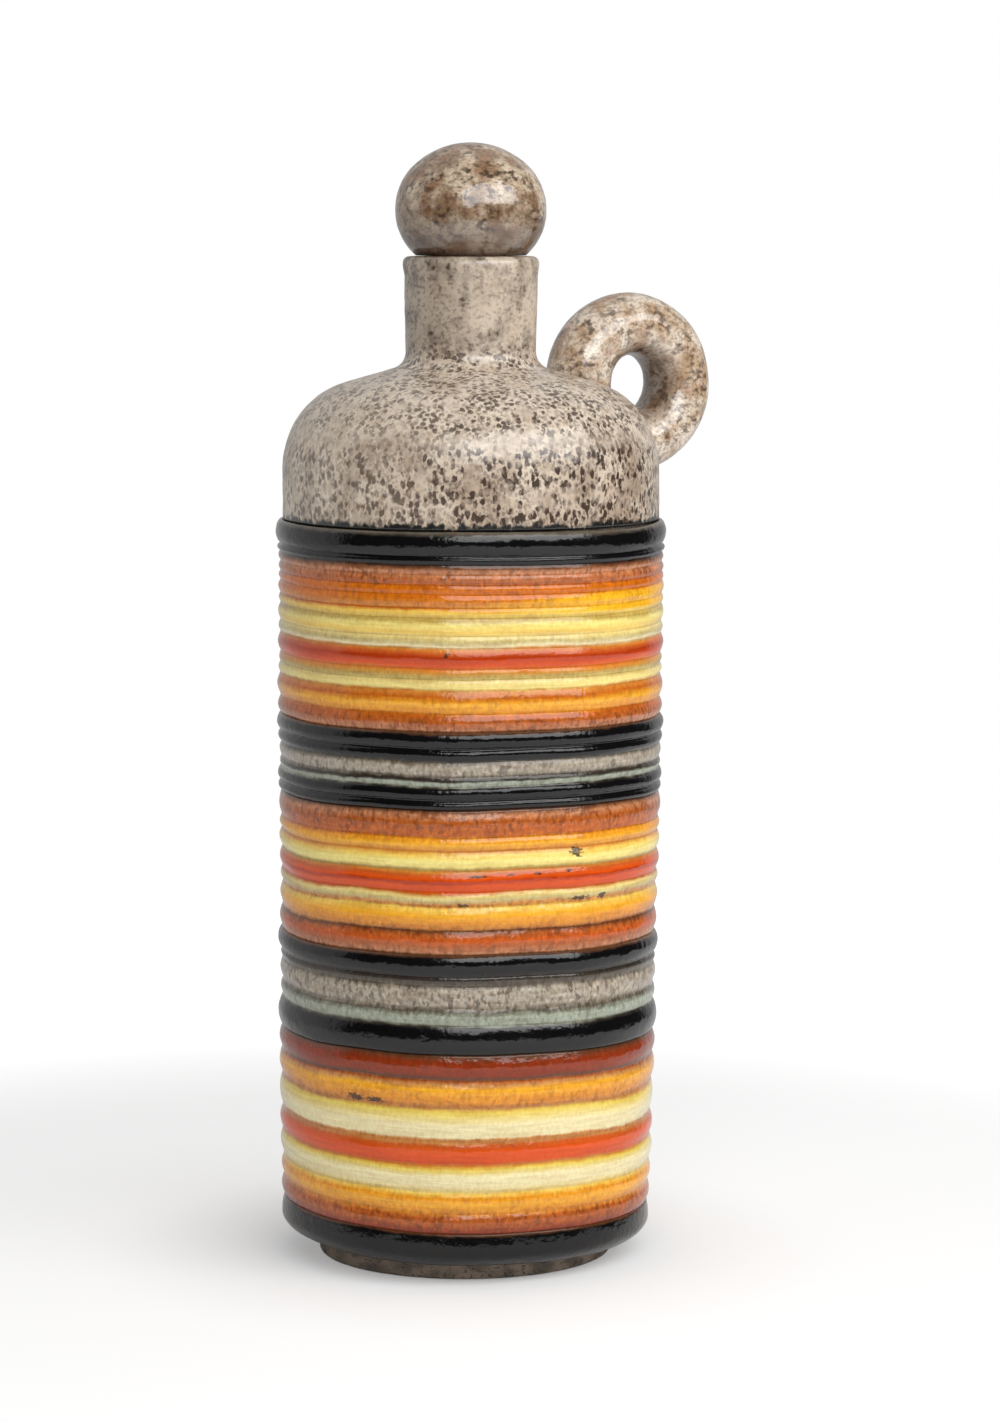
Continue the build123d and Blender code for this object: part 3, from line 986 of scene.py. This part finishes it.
# Glazes of each band from its top down: share of the band's height, glaze, freckling from 0 to 1
BAND_TONES = {
    "black_band_1": [(0, "slate", 0.3), (0.14, "black", 0), (1, "black", 0)],
    "rust_band_1": [(0.12, "umber", 0.6), (0.36, "pink_rust", 0.9), (0.9, "rust", 0.8)],
    "orange_band_1": [(0.1, "orange", 0.5), (0.55, "orange", 0.4), (0.92, "ochre", 0.4)],
    "yellow_band_1": [(0.03, "burnt", 0.2), (0.13, "gold", 0.1), (0.33, "olive", 0.3), (0.45, "yellow", 0),
                      (0.6, "gold", 0), (0.72, "straw", 0.1), (0.86, "khaki", 0.3), (0.95, "cream", 0)],
    "red_band_1": [(0.05, "ochre", 0.1), (0.22, "brick", 0.1), (0.44, "deep_red", 0), (0.84, "red", 0)],
    "yellow_band_2": [(0.1, "ochre", 0.2), (0.38, "olive", 0.3), (0.65, "straw", 0.1), (0.9, "yellow", 0)],
    "amber_band_1": [(0.04, "ochre", 0.2), (0.3, "burnt", 0.4), (0.6, "amber", 0.3), (0.92, "honey", 0.3)],
    "rust_band_2": [(0.1, "burnt", 0.5), (0.45, "rust", 0.9), (0.92, "pink_rust", 0.9)],
    "black_band_2": [(0.02, "umber", 0.5), (0.12, "black", 0), (0.97, "black", 0)],
    "grey_band_1": [(0.06, "slate", 0.7), (0.2, "grey", 0.7), (0.5, "grey", 0.9), (0.68, "soot", 1),
                    (0.77, "soot", 0.7), (0.86, "sage", 0.4), (0.98, "sage", 0.5)],
    "black_band_3": [(0.06, "soot", 0.3), (0.13, "black", 0), (1, "black", 0)],
    "rust_band_3": [(0.03, "umber", 0.7), (0.22, "pink_rust", 0.9), (0.42, "rust", 0.9), (0.55, "rust", 1),
                    (0.75, "burnt", 0.8), (0.95, "burnt", 0.6)],
    "amber_band_2": [(0.15, "honey", 0.4), (0.6, "amber", 0.2)],
    "yellow_band_3": [(0.06, "ochre", 0.2), (0.25, "gold", 0.1), (0.5, "yellow", 0), (0.8, "yellow", 0),
                      (0.95, "olive", 0.3)],
    "red_band_2": [(0.05, "ochre", 0.1), (0.2, "brick", 0), (0.4, "red", 0), (0.56, "deep_red", 0),
                   (0.7, "red", 0), (0.97, "red", 0.1)],
    "yellow_band_4": [(0.06, "burnt", 0.1), (0.3, "straw", 0.1), (0.6, "khaki", 0.2), (0.92, "ochre", 0.7)],
    "amber_band_3": [(0.1, "gold", 0.3), (0.4, "amber", 0.1), (0.65, "honey", 0.2), (0.95, "ochre", 0.5)],
    "rust_band_4": [(0.05, "umber", 0.9), (0.2, "rust", 0.9), (0.42, "brick", 0.5), (0.65, "rust", 0.5),
                    (0.93, "pink_rust", 0.8)],
    "black_band_4": [(0.03, "umber", 0.5), (0.12, "black", 0), (0.62, "black", 0), (0.8, "soot", 0.8)],
    "grey_band_2": [(0.01, "slate", 1), (0.12, "grey", 0.9), (0.5, "grey", 1), (0.64, "slate", 1),
                    (0.78, "sage", 0.5), (0.97, "sage", 0.4)],
    "black_band_5": [(0.05, "soot", 0.3), (0.13, "black", 0), (0.96, "black", 0)],
    "rust_band_5": [(0.04, "umber", 0.5), (0.3, "red_rust", 0.6), (0.8, "red_rust", 0.3),
                    (0.96, "umber", 0.6)],
    "amber_band_4": [(0.05, "rust", 0.6), (0.18, "tan", 0.4), (0.36, "amber", 0.25), (0.7, "honey", 0.4),
                     (0.95, "ochre", 0.5)],
    "cream_band_1": [(0.06, "tan", 0.4), (0.17, "lemon", 0.1), (0.34, "straw", 0), (0.55, "cream", 0),
                     (0.9, "cream", 0.1), (0.96, "ochre", 0.6)],
    "red_band_3": [(0.05, "tan", 0.3), (0.2, "brick", 0.2), (0.45, "red", 0), (0.92, "red", 0.1)],
    "cream_band_2": [(0.04, "ochre", 0.1), (0.17, "lemon", 0.1), (0.4, "cream", 0), (0.75, "cream", 0),
                     (0.96, "straw", 0.2)],
    "amber_band_5": [(0.06, "gold", 0.2), (0.28, "honey", 0.4), (0.6, "amber", 0.2), (0.92, "honey", 0.4)],
    "rust_band_6": [(0.06, "ochre", 0.6), (0.22, "rust", 0.9), (0.5, "rust", 0.8), (0.92, "red_rust", 0.7)],
    "black_band_6": [(0.02, "umber", 0.5), (0.1, "black", 0), (1, "black", 0)],
}


def section_stops(names, upper, lower):
    """Ramp stops from the section's top to its foot, with the freckling in their alpha."""
    stops = []
    for name in names:
        tall = band_tops[name] - band_feet[name]
        for share, tone, freckles in BAND_TONES[name]:
            level = band_tops[name] - tall * share
            stops.append(((upper - level) / (upper - lower), paint(*PALETTE[tone], freckles)))
    return stops


print(len(PALETTE), "glazes on", len(BAND_TONES), "bands")

# %% [markdown]
# Some marks were made once and never again: a spot where a bristle stuck, a dash of dark glaze in
# a groove, a scorched blister. Noise can't place those, so each is listed by its direction from
# the camera, its height and its half width and half height, and drawn as a small frayed oval.

# %% Single marks and a glossy finish
# Marks of each section: degrees to the right of the camera, height, half width and half height
MARKS = {
    "upper_colour_bands": [(-6.5, 180.7, 0.8, 0.8)],
    "middle_colour_bands": [
        (33.6, 124, 2.1, 1.5), (43.8, 110.7, 1.5, 0.9), (35, 110.7, 3.8, 0.55), (-1, 109.9, 2, 0.45),
        (3, 118.1, 2.4, 0.35), (12.9, 118.1, 1.1, 0.4), (21, 118.2, 1.2, 0.4), (31, 118.7, 1.2, 0.4),
    ],
    "lower_colour_bands": [(-35.3, 53.1, 2.6, 1), (-28.3, 53, 2.8, 0.8)],
}
MARK_RADIUS = 55 * MM


def end_recipe(make, colour, roughness, bump_height, bump_depth, gloss=0.5, ior=1.55):
    """Ends a recipe with a glossy surface. Bump heights from 0 to 1 span bump_depth millimetres."""
    heights = {"Strength": 1, "Distance": bump_depth * MM, "Height": bump_height}
    surface = make.node("ShaderNodeBsdfPrincipled", None, {
        "Base Color": colour,
        "Roughness": roughness,
        "Normal": make.node("ShaderNodeBump", None, heights),
        "Specular IOR Level": gloss,
        "IOR": ior,
    })
    make.node("ShaderNodeOutputMaterial", None, {"Surface": surface})


def thrown_place(make):
    """The place of a point before the clay was pushed about, so that colour follows the rings."""
    return make.node("ShaderNodeAttribute", {"attribute_name": "thrown"}, output=1)


def rolled_out(make, place):
    """The place moved level on to a plain cylinder, so that rings don't disturb a mark."""
    outward = make.vector("NORMALIZE", make.vector("MULTIPLY", place, (1, 1, 0)))
    on_cylinder = make.vector("MULTIPLY", outward, (MARK_RADIUS, MARK_RADIUS, 0))
    return make.vector("ADD", on_cylinder, make.vector("MULTIPLY", place, (0, 0, 1)))


def away(make, place, point, factors):
    """Distance from a point with each direction weighed by its own factor."""
    offset = make.vector("SUBTRACT", place, point)
    return make.vector("LENGTH", make.vector("MULTIPLY", offset, factors))


def marks_on(make, flat, marks):
    """1 inside any of the listed marks, with a frayed edge."""
    frayed = make.noise(flat, 0.7, (1.3, 1.3, 0.7), 2, 0.9) - 0.5
    inside = None
    for azimuth, level, half_wide, half_tall in marks:
        spot = from_camera(azimuth, 0) * MARK_RADIUS + Vector((0, 0, level * MM))
        factors = (1 / half_wide / MM, 1 / half_wide / MM, 1 / half_tall / MM)
        shape = (away(make, flat, spot, factors) + frayed * 3).step(1.2, 0.6)
        inside = shape if inside is None else inside.most(shape)
    return inside


print(sum(len(marks) for marks in MARKS.values()), "single marks")

# %% [markdown]
# The band glaze puts it all together. Long level streaks come from the brush, a fine grain from
# the melt, dark lines where the glaze pooled in grooves, and freckles where iron spots broke
# through. The orange band also slips down over the yellow one on one side, as a golden wedge.

# %% Banded glaze
BORDER_WANDER = 1.6 * MM
BORDER_FRAY = 1.1 * MM
WEDGE_TALL = 4.4 * MM
WEDGE_FADE = 1.6 * MM


def golden_wedge(make, flat, bent):
    """Share of the glaze that slips down to the right over the top of the yellow band."""
    border = band_tops["yellow_band_1"]
    slip = make.vector("DOT_PRODUCT", flat, view_right).step(-0.45 * MARK_RADIUS, 0.8 * MARK_RADIUS)
    wedge_top = border + slip * WEDGE_TALL
    above_border = bent.step(border - 2 * MM, border - 1 * MM)
    below_edge = bent.step(wedge_top, wedge_top - WEDGE_FADE)
    return above_border * below_edge * slip * 0.95


def band_colours(make, names, place, flat):
    """The glazes of a section along its height, bent by noise, and how freckled they fire."""
    upper, lower = band_tops[names[0]], band_feet[names[-1]]
    wander = (make.noise(flat, 34, (1, 1, 0.6), 2, 0.1) - 0.5) * BORDER_WANDER
    fray = (make.noise(flat, 2.4, (1.5, 1.5, 0.7), 3, 0.2) - 0.5) * BORDER_FRAY
    bent = make.part(place, "z") + wander + fray
    stops = section_stops(names, upper, lower)
    ramp = make.node("ShaderNodeValToRGB", {"stops": stops}, {0: (upper - bent) / (upper - lower)})
    freckling = Wire(make, ramp.socket.node.outputs[1])
    if "orange_band_1" in names:
        ramp = make.mix(golden_wedge(make, flat, bent), ramp, paint(*PALETTE["deep_gold"]))
    return ramp, freckling


def band_glaze(name, names):
    """Glossy banded glaze with streaks, grain, dark grooves, freckles and marks over its colours."""
    finish, make = fresh_finish(name + "_glaze")
    place = thrown_place(make)
    flat = rolled_out(make, place)
    ramp, freckling = band_colours(make, names, place, flat)
    crest = make.node("ShaderNodeAttribute", {"attribute_name": "crest"}, output=2)
    cloudy = make.noise(flat, 7, (1, 1, 0.5), 3, 0.5)
    streaks = make.noise(flat, 15, (1, 1, 0.07), 3, 0.3).step(0.42, 0.64)
    thin = make.noise(flat, 6, (1.6, 1.6, 0.09), 3, 0.4).step(0.52, 0.68)
    grain = make.noise(flat, 0.95, (1, 1, 1.5), 2, 0.45).step(0.4, 0.6)
    groove = (1 - crest).step(0.72, 1.0) * (0.35 + cloudy * 0.9)
    flecks = make.noise(flat, 1.5, (1, 1, 1.1), 3, 0.65).step(0.5, 0.68)
    melt = (0.62, 0.54, 0.46, 1) if "grey" in name else (0.78, 0.54, 0.36, 1)
    fired = make.layered(ramp, [
        (streaks * 0.25, (0.62, 0.48, 0.34, 1)),
        (thin * 0.24, (1.35, 1.35, 1.4, 1)),
        (grain * (0.2 + freckling * 0.45), melt),
        (groove.least(1) * 0.4, (0.36, 0.27, 0.18, 1)),
        (flecks * freckling * 0.6, (1.55, 1.5, 1.45, 1)),
    ], "MULTIPLY")
    specks = make.noise(flat, 1.5, (1, 1, 1.5), 2, 0.6).step(0.5, 0.6)
    patches = cloudy.step(0.3, 0.6)
    iron = paint(66, 50, 38) if "grey" in name else paint(100, 46, 18)
    colour = make.mix(specks * (0.3 + patches * 0.7) * freckling * 0.66, fired, iron)
    if name in MARKS:
        colour = make.mix(marks_on(make, flat, MARKS[name]) * 0.88, colour, paint(50, 34, 24))
    ripple = make.noise(flat, 2.6, (1, 1, 0.7), 2, 0.7)
    pits = make.noise(flat, 1.0, (1, 1, 1.2), 2, 0.8)
    gloss = 0.38 if names == ["black_band_6"] else 0.5
    end_recipe(make, colour, 0.09 + cloudy * 0.1, ripple * 0.6 + pits * 0.4, 0.2, gloss)
    return finish


for name, (first, last) in SECTIONS.items():
    names = bands_between(first, last)
    band_sections[name].data.materials.append(band_glaze(name, names))
    print(name, sum(len(BAND_TONES[n]) for n in names), "stops")

# %% [markdown]
# The sand glaze is warm grey with brown specks: small and round near the neck, long and dense low
# on the shoulder where they ran. Cut-off noise would draw worms, so the specks are made from cells
# that each hold one ragged spot. The neck is cloudier and greyer. The side away from the handle is
# paler on the shoulder as a painted reflection and darker on the neck as painted shade, and the top
# of the shoulder is lighter as a painted highlight. Dark glaze gathered in a thin line where the
# handle meets the shoulder, and the black band frays upwards into the sand.

# %% Speckled sand glaze
RUN_BELOW = bands_top + 29 * MM, bands_top + 20 * MM
LIT_CROWN_ABOVE = bands_top + 16 * MM, bands_top + 34 * MM
NECK_ABOVE = neck_low.z - 4 * MM, neck_low.z + 5 * MM
LEFT_OF_CAMERA = from_camera(-65, 0)
PAINTED_VEIL_BEYOND = 16 * MM, 50 * MM
NECK_SHADE_BEYOND = 2 * MM, 19 * MM
HANDLE_BEYOND = 20 * MM, 24 * MM
SEAM_EDGE = 1.14, 1.05
BLACK_FRAY = 6 * MM
BLACK_BELOW = bands_top + 2.2 * MM, bands_top + 0.9 * MM


def running_specks(make, place, low, crown):
    """Round specks high on the shoulder and long ones low on it, gathered in patches."""
    round_specks = make.spots(place, 1.7, (1, 1, 1), 1.3)
    long_specks = make.spots(place, 1.65, (1, 1, 1.6), 1.4)
    small_specks = make.spots(place, 1.15, (1, 1, 1.2), 1.5) * 0.5
    patches = make.noise(place, 4, (1, 1, 1), 3, 1.6).step(0.35, 0.54)
    high_specks = round_specks.most(small_specks) * (1 - low) * (1 - crown * 0.12)
    low_specks = long_specks.most(small_specks) * low
    return high_specks.most(low_specks) * (0.3 + patches * 0.7)


def root_seam(make, place):
    """Share of the thin line of dark glaze round the handle's two ends."""
    thick, wide = 1 / COIL_HALF_THICK, 1 / coil_half_wide
    upper_root = away(make, place, (ring_middle.x - ring_radius, 0, 0), (thick, wide, 0))
    lower_root = away(make, place, (0, 0, ring_middle.z - ring_radius), (0, wide, thick))
    handle_side = make.part(place, "x").step(*HANDLE_BEYOND)
    return upper_root.step(*SEAM_EDGE).most(lower_root.step(*SEAM_EDGE) * handle_side)


def sand_glaze():
    """Sand glaze of the shoulder and neck, with running specks, a frayed black lower edge, and painted
    highlight, reflection and shade.
    """
    finish, make = fresh_finish("sand_glaze")
    place = thrown_place(make)
    height = make.part(place, "z")
    low = height.step(*RUN_BELOW)
    on_neck = height.step(*NECK_ABOVE)
    # The top of the shoulder is lit by a painted highlight, a lighter tone laid on below.
    crown = height.step(*LIT_CROWN_ABOVE) * (1 - on_neck)
    # The side away from the handle: paler on the shoulder as a painted reflection, with fewer specks, and
    # darker on the neck as painted shade.
    side = make.vector("DOT_PRODUCT", place, LEFT_OF_CAMERA)
    painted_veil = side.step(*PAINTED_VEIL_BEYOND)
    clouds = make.noise(place, 12, (1, 1, 1), 3, 1.1)
    browned = make.noise(place, 8, (1, 1, 1.1), 4, 1.15).step(0.45, 0.68) * 0.42
    warm = make.noise(place, 4, (1, 1, 1), 3, 1.2).step(0.5, 0.72) * 0.35
    specks = running_specks(make, place, low, crown) * (1 - painted_veil * 0.25)
    mist = make.noise(place, 6, (1, 1, 1.2), 4, 1.7).step(0.42, 0.7) * 0.58
    fine = make.noise(place, 1.3, (1, 1, 0.8), 3, 1.75).step(0.46, 0.7) * 0.38
    # Painted shade on the neck's side away from the handle.
    painted_neck_shade = side.step(*NECK_SHADE_BEYOND) * 0.3
    # Mist on the neck, with the painted shade in it.
    neck_mist_and_shade = (mist + fine + painted_neck_shade) * on_neck * 0.85
    edge = (make.noise(place, 2.2, (1, 1, 1.6), 4, 1.8) - 0.5) * BLACK_FRAY
    sand = make.mix(clouds.step(0.35, 0.65), paint(192, 171, 150), paint(219, 202, 181))
    colour = make.layered(sand, [
        # Painted highlight on the top of the shoulder and painted pale reflection on the side away from the
        # handle.
        ((crown * 0.65).most(painted_veil * 0.6), paint(230, 214, 194)),
        (browned * (0.3 + low * 0.7), paint(136, 112, 90)),
        (warm, paint(190, 156, 124)),
        (on_neck * 0.7, paint(208, 191, 170)),
        ((specks * (1 - on_neck * 0.9) + neck_mist_and_shade + fine * 0.22).least(1), paint(70, 52, 40)),
        (root_seam(make, place) * (1 - on_neck) * 0.75, paint(60, 42, 34)),
        ((height + edge).step(*BLACK_BELOW), paint(22, 24, 22)),
    ])
    ripple = make.noise(place, 3.2, (1, 1, 1.2), 2, 1.9)
    pits = make.noise(place, 1.0, (1, 1, 1), 2, 2.0)
    bump = ripple * 0.7 + pits * 0.3 - specks * 0.2
    end_recipe(make, colour, 0.22 + clouds * 0.14, bump, 0.17, gloss=1.0)
    return finish


# %% [markdown]
# The handle and the ball carry a glossier, cloudier coat: sand, olive and pink-brown run into each
# other, with dark clusters over them. The handle is darkest inside its ring, where the glaze ran
# thick and painted shade is added, and the ball ends in a thin dark line of painted shadow at its
# seat, with painted shade over its lower half.

# %% Mottled glaze of handle and ball
HANDLE_TONES = paint(190, 160, 128), paint(234, 218, 198)
BALL_TONES = paint(150, 120, 92), paint(212, 192, 166)
THICK_AND_SHADED_WITHIN = ring_radius - 3 * MM, ring_radius - 8.5 * MM
SEAT_SHADOW = ball_low.z + 0.8 * MM, ball_low.z + 0.2 * MM
SHADED_BELOW = ball_centre + 9 * MM, ball_low.z


def mottled_glaze(name, tones, mottling, glaze_and_shade_share):
    """Cloudy brown glaze of two tones. The last function gives the share of dark colour: thick glaze with
    painted shade inside the handle's ring, painted shade on the ball.
    """
    finish, make = fresh_finish(name)
    place = thrown_place(make)
    wide = make.noise(place, 7, (1, 1, 1), 5, 3.1)
    pink = make.noise(place, 5, (1, 1, 1), 4, 3.2).step(0.5, 0.66) * 0.4
    clusters = make.noise(place, 2.2, (1, 1, 0.8), 6, 3.3).step(0.46, 0.64)
    patches = make.noise(place, 9, (1, 1, 1), 3, 3.4).step(0.38, 0.6)
    fine = make.noise(place, 1.0, (1, 1, 0.8), 3, 3.5).step(0.46, 0.64) * 0.45
    colour = make.layered(make.mix(wide.step(0.38, 0.62), *tones), [
        (pink, paint(170, 118, 90)),
        (clusters * (0.3 + patches * 0.65) * mottling, paint(74, 57, 46)),
        (fine, paint(88, 66, 50)),
        # Dark colour of thick glaze with painted shade inside the handle's ring, and painted shade low on
        # the ball.
        (glaze_and_shade_share(make, place), paint(66, 42, 26)),
    ])
    ripple = make.noise(place, 3.5, (1, 1, 1), 2, 3.6)
    pits = make.noise(place, 1.1, (1, 1, 1), 2, 3.7)
    bump = ripple * 0.7 + pits * 0.3
    end_recipe(make, colour, 0.09 + wide * 0.1, bump, 0.09, gloss=0.85, ior=1.62)
    return finish


def inside_of_ring(make, place):
    """Thick glaze with painted shade, growing towards the inner side of the handle's ring."""
    inward = away(make, place, ring_middle, (1, 0, 1)).step(*THICK_AND_SHADED_WITHIN)
    return inward * (0.35 + make.noise(place, 5, (1, 1, 1), 3, 3.8) * 0.6)


def painted_seat_shade(make, place):
    """Painted shadow, full on the lowest hair of the ball where it sits on the lip, and painted shade
    fading up to its middle.
    """
    height = make.part(place, "z")
    return (height.step(*SEAT_SHADOW) * 0.9).most(height.step(*SHADED_BELOW) * 0.74)


sand_coat.data.materials.append(sand_glaze())
handle.data.materials.append(mottled_glaze("handle_mottled_glaze", HANDLE_TONES, 0.88, inside_of_ring))
ball.data.materials.append(mottled_glaze("ball_mottled_glaze", BALL_TONES, 1.0, painted_seat_shade))
print("speckled and mottled coats painted")

# %% [markdown]
# What is left is bare: the clay of the foot and of the pieces inside, the liner glaze and the
# cork. They show at the foot, in the open neck and when the stopper is lifted, so each gets a
# plain finish with its own grain.

# %% Clay, liner and cork
def bare_clay(name, place_of):
    """Fired grey-brown clay with grog, dull and sandy. place_of gives the place to paint by."""
    finish, make = fresh_finish(name)
    place = place_of(make)
    clouds = make.noise(place, 7, (1, 1, 0.5), 4, 4.1)
    grog = make.noise(place, 0.9, (1, 1, 1), 2, 4.2).step(0.58, 0.7)
    base = make.mix(clouds.step(0.35, 0.65), paint(100, 90, 79), paint(142, 127, 112))
    colour = make.mix(grog * 0.6, base, paint(52, 44, 38))
    end_recipe(make, colour, 0.75 + clouds * 0.2, clouds * 0.5 + grog * 0.5, 0.5)
    return finish


def liner_glaze():
    """Thin brown-grey liner glaze, glossy, with fine mottling."""
    finish, make = fresh_finish("liner_glaze")
    clouds = make.noise(own_place(make), 8, (1, 1, 1.5), 3, 5.1)
    colour = make.mix(clouds.step(0.3, 0.7), paint(120, 104, 84), paint(150, 134, 112))
    end_recipe(make, colour, 0.22 + clouds * 0.12, clouds, 0.3)
    return finish


def cork_bark():
    """Cork with dark pores and a warm uneven grain."""
    finish, make = fresh_finish("cork")
    place = own_place(make)
    grain = make.noise(place, 3, (1, 1, 1), 4, 6.1)
    pores = make.noise(place, 1.3, (1, 1, 2.6), 2, 6.2).step(0.6, 0.7)
    base = make.mix(grain.step(0.3, 0.7), paint(166, 120, 76), paint(204, 160, 108))
    colour = make.mix(pores * 0.8, base, paint(84, 54, 32))
    end_recipe(make, colour, 0.8 + grain * 0.1, grain * 0.5 - pores * 0.6, 0.8)
    return finish


def repaint(node, finish):
    """Gives a frame node that stays a finish of its own."""
    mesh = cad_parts[node].data
    mesh.materials.clear()
    mesh.materials.append(finish)


thrown_clay = bare_clay("bare_clay", thrown_place)
inner_clay = bare_clay("inner_clay", own_place)
for piece in (clay_wall, foot):
    piece.data.materials.append(thrown_clay)
for node in ("shoulder", "neck", "ring_handle", "stopper_ball", "upper_handle_slip", "lower_handle_slip"):
    repaint(node, inner_clay)
repaint("interior_glaze", liner_glaze())
repaint("stopper_cork", cork_bark())
print("bare pieces painted")

# %% [markdown]
# Last, each new piece is told which part of the bottle it rides on, so that the ball lifts with
# its cork.

# %% Ride
for section in band_sections.values():
    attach(section, "bottle")
slots = [
    (sand_coat, "sand_glaze"), (handle, "mottled_glaze"),
    (clay_wall, "fired_clay"), (foot, "fired_clay"),
]
for piece, slot in slots:
    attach(piece, "bottle")
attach(ball, "stopper")

bpy.context.scene.view_settings.view_transform = "Standard"
